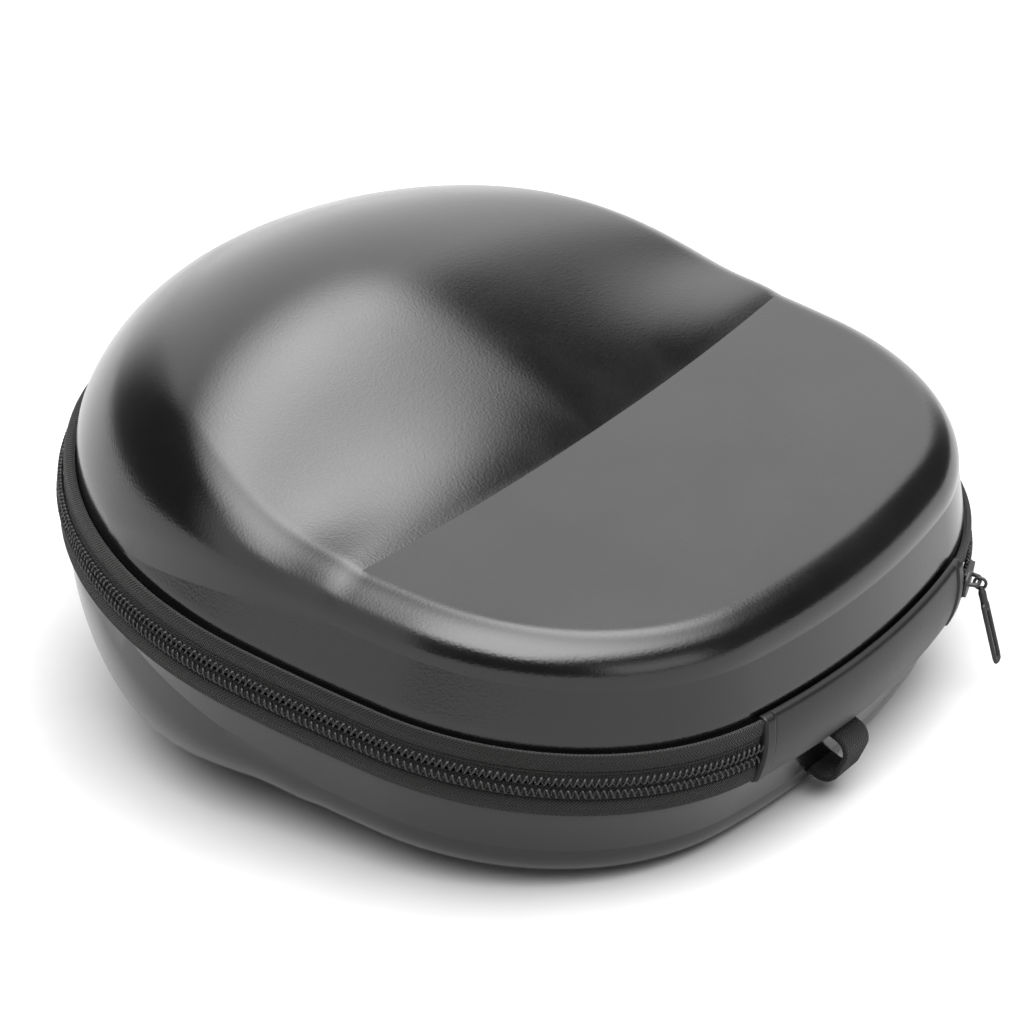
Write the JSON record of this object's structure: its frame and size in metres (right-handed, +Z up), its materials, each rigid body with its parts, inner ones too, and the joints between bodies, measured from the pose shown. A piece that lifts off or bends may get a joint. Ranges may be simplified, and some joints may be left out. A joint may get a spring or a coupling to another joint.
{
  "type": "headphone_case",
  "caption": "Black moulded clamshell headphone case with a domed smooth leather-look shell, twill zip band, slider with pull, leather spine and webbing hang loop",
  "frame": {"origin": "bottom of the case's bounding box, in the middle of its footprint, where the case stands on a table on its domed base", "axes": "+Z up, +Y towards the spine, X along the spine; the zip plane leans 9 degrees, with the spine end low"},
  "size_m": [0.233, 0.2339, 0.1154],
  "materials": {
    "cover_leather": "semi-gloss",
    "moulded_foam": "matte",
    "knit_lining": "matte",
    "binding_tape": "matte",
    "zip_tape": "matte",
    "zip_coil": "satin",
    "spine_leather": "semi-gloss",
    "loop_webbing": "matte",
    "thread": "matte",
    "slider_metal": "semi-gloss",
    "pull_plastic": "satin",
    "pocket_mesh": "matte",
    "elastic": "matte"
  },
  "bodies": {
    "base": {"base_cover": "cover_leather", "base_foam_shell": "moulded_foam", "base_lining": "knit_lining", "base_rim_binding": "binding_tape", "base_zipper_tape": "zip_tape", "base_zipper_coil": "zip_coil", "spine_cover": "spine_leather", "spine_lining": "knit_lining", "hang_loop": "loop_webbing", "hang_loop_bar_tacks": "thread"},
    "lid": {"lid_cover": "cover_leather", "lid_foam_shell": "moulded_foam", "lid_lining": "knit_lining", "lid_rim_binding": "binding_tape", "lid_zipper_tape": "zip_tape", "lid_zipper_coil": "zip_coil", "mesh_pocket": "pocket_mesh", "pocket_elastic": "elastic"},
    "slider": {"zipper_slider": "slider_metal"},
    "puller": {"pull_link": "slider_metal", "pull_tab": "pull_plastic"}
  },
  "joints": [
    {"name": "lid_hinge", "type": "hinge", "parent": "base", "child": "lid", "pos_m": [0, 0.11426, 0.03164], "axis": [-1, 0, 0], "range_deg": [0, 160], "deforming": ["spine_cover", "spine_lining", "lid_zipper_coil"]},
    {"name": "slider_travel", "type": "hinge", "parent": "base", "child": "slider", "pos_m": [-0.03572, 0.0336, 0.04442], "axis": [0, 0.1564, 0.9877], "range_deg": [0, 64]},
    {"name": "pull_swing", "type": "hinge", "parent": "slider", "child": "puller", "pos_m": [-0.06111, 0.11217, 0.03197], "axis": [0.9527, 0.3003, -0.0476], "range_deg": [-22, 126]}
  ]
}
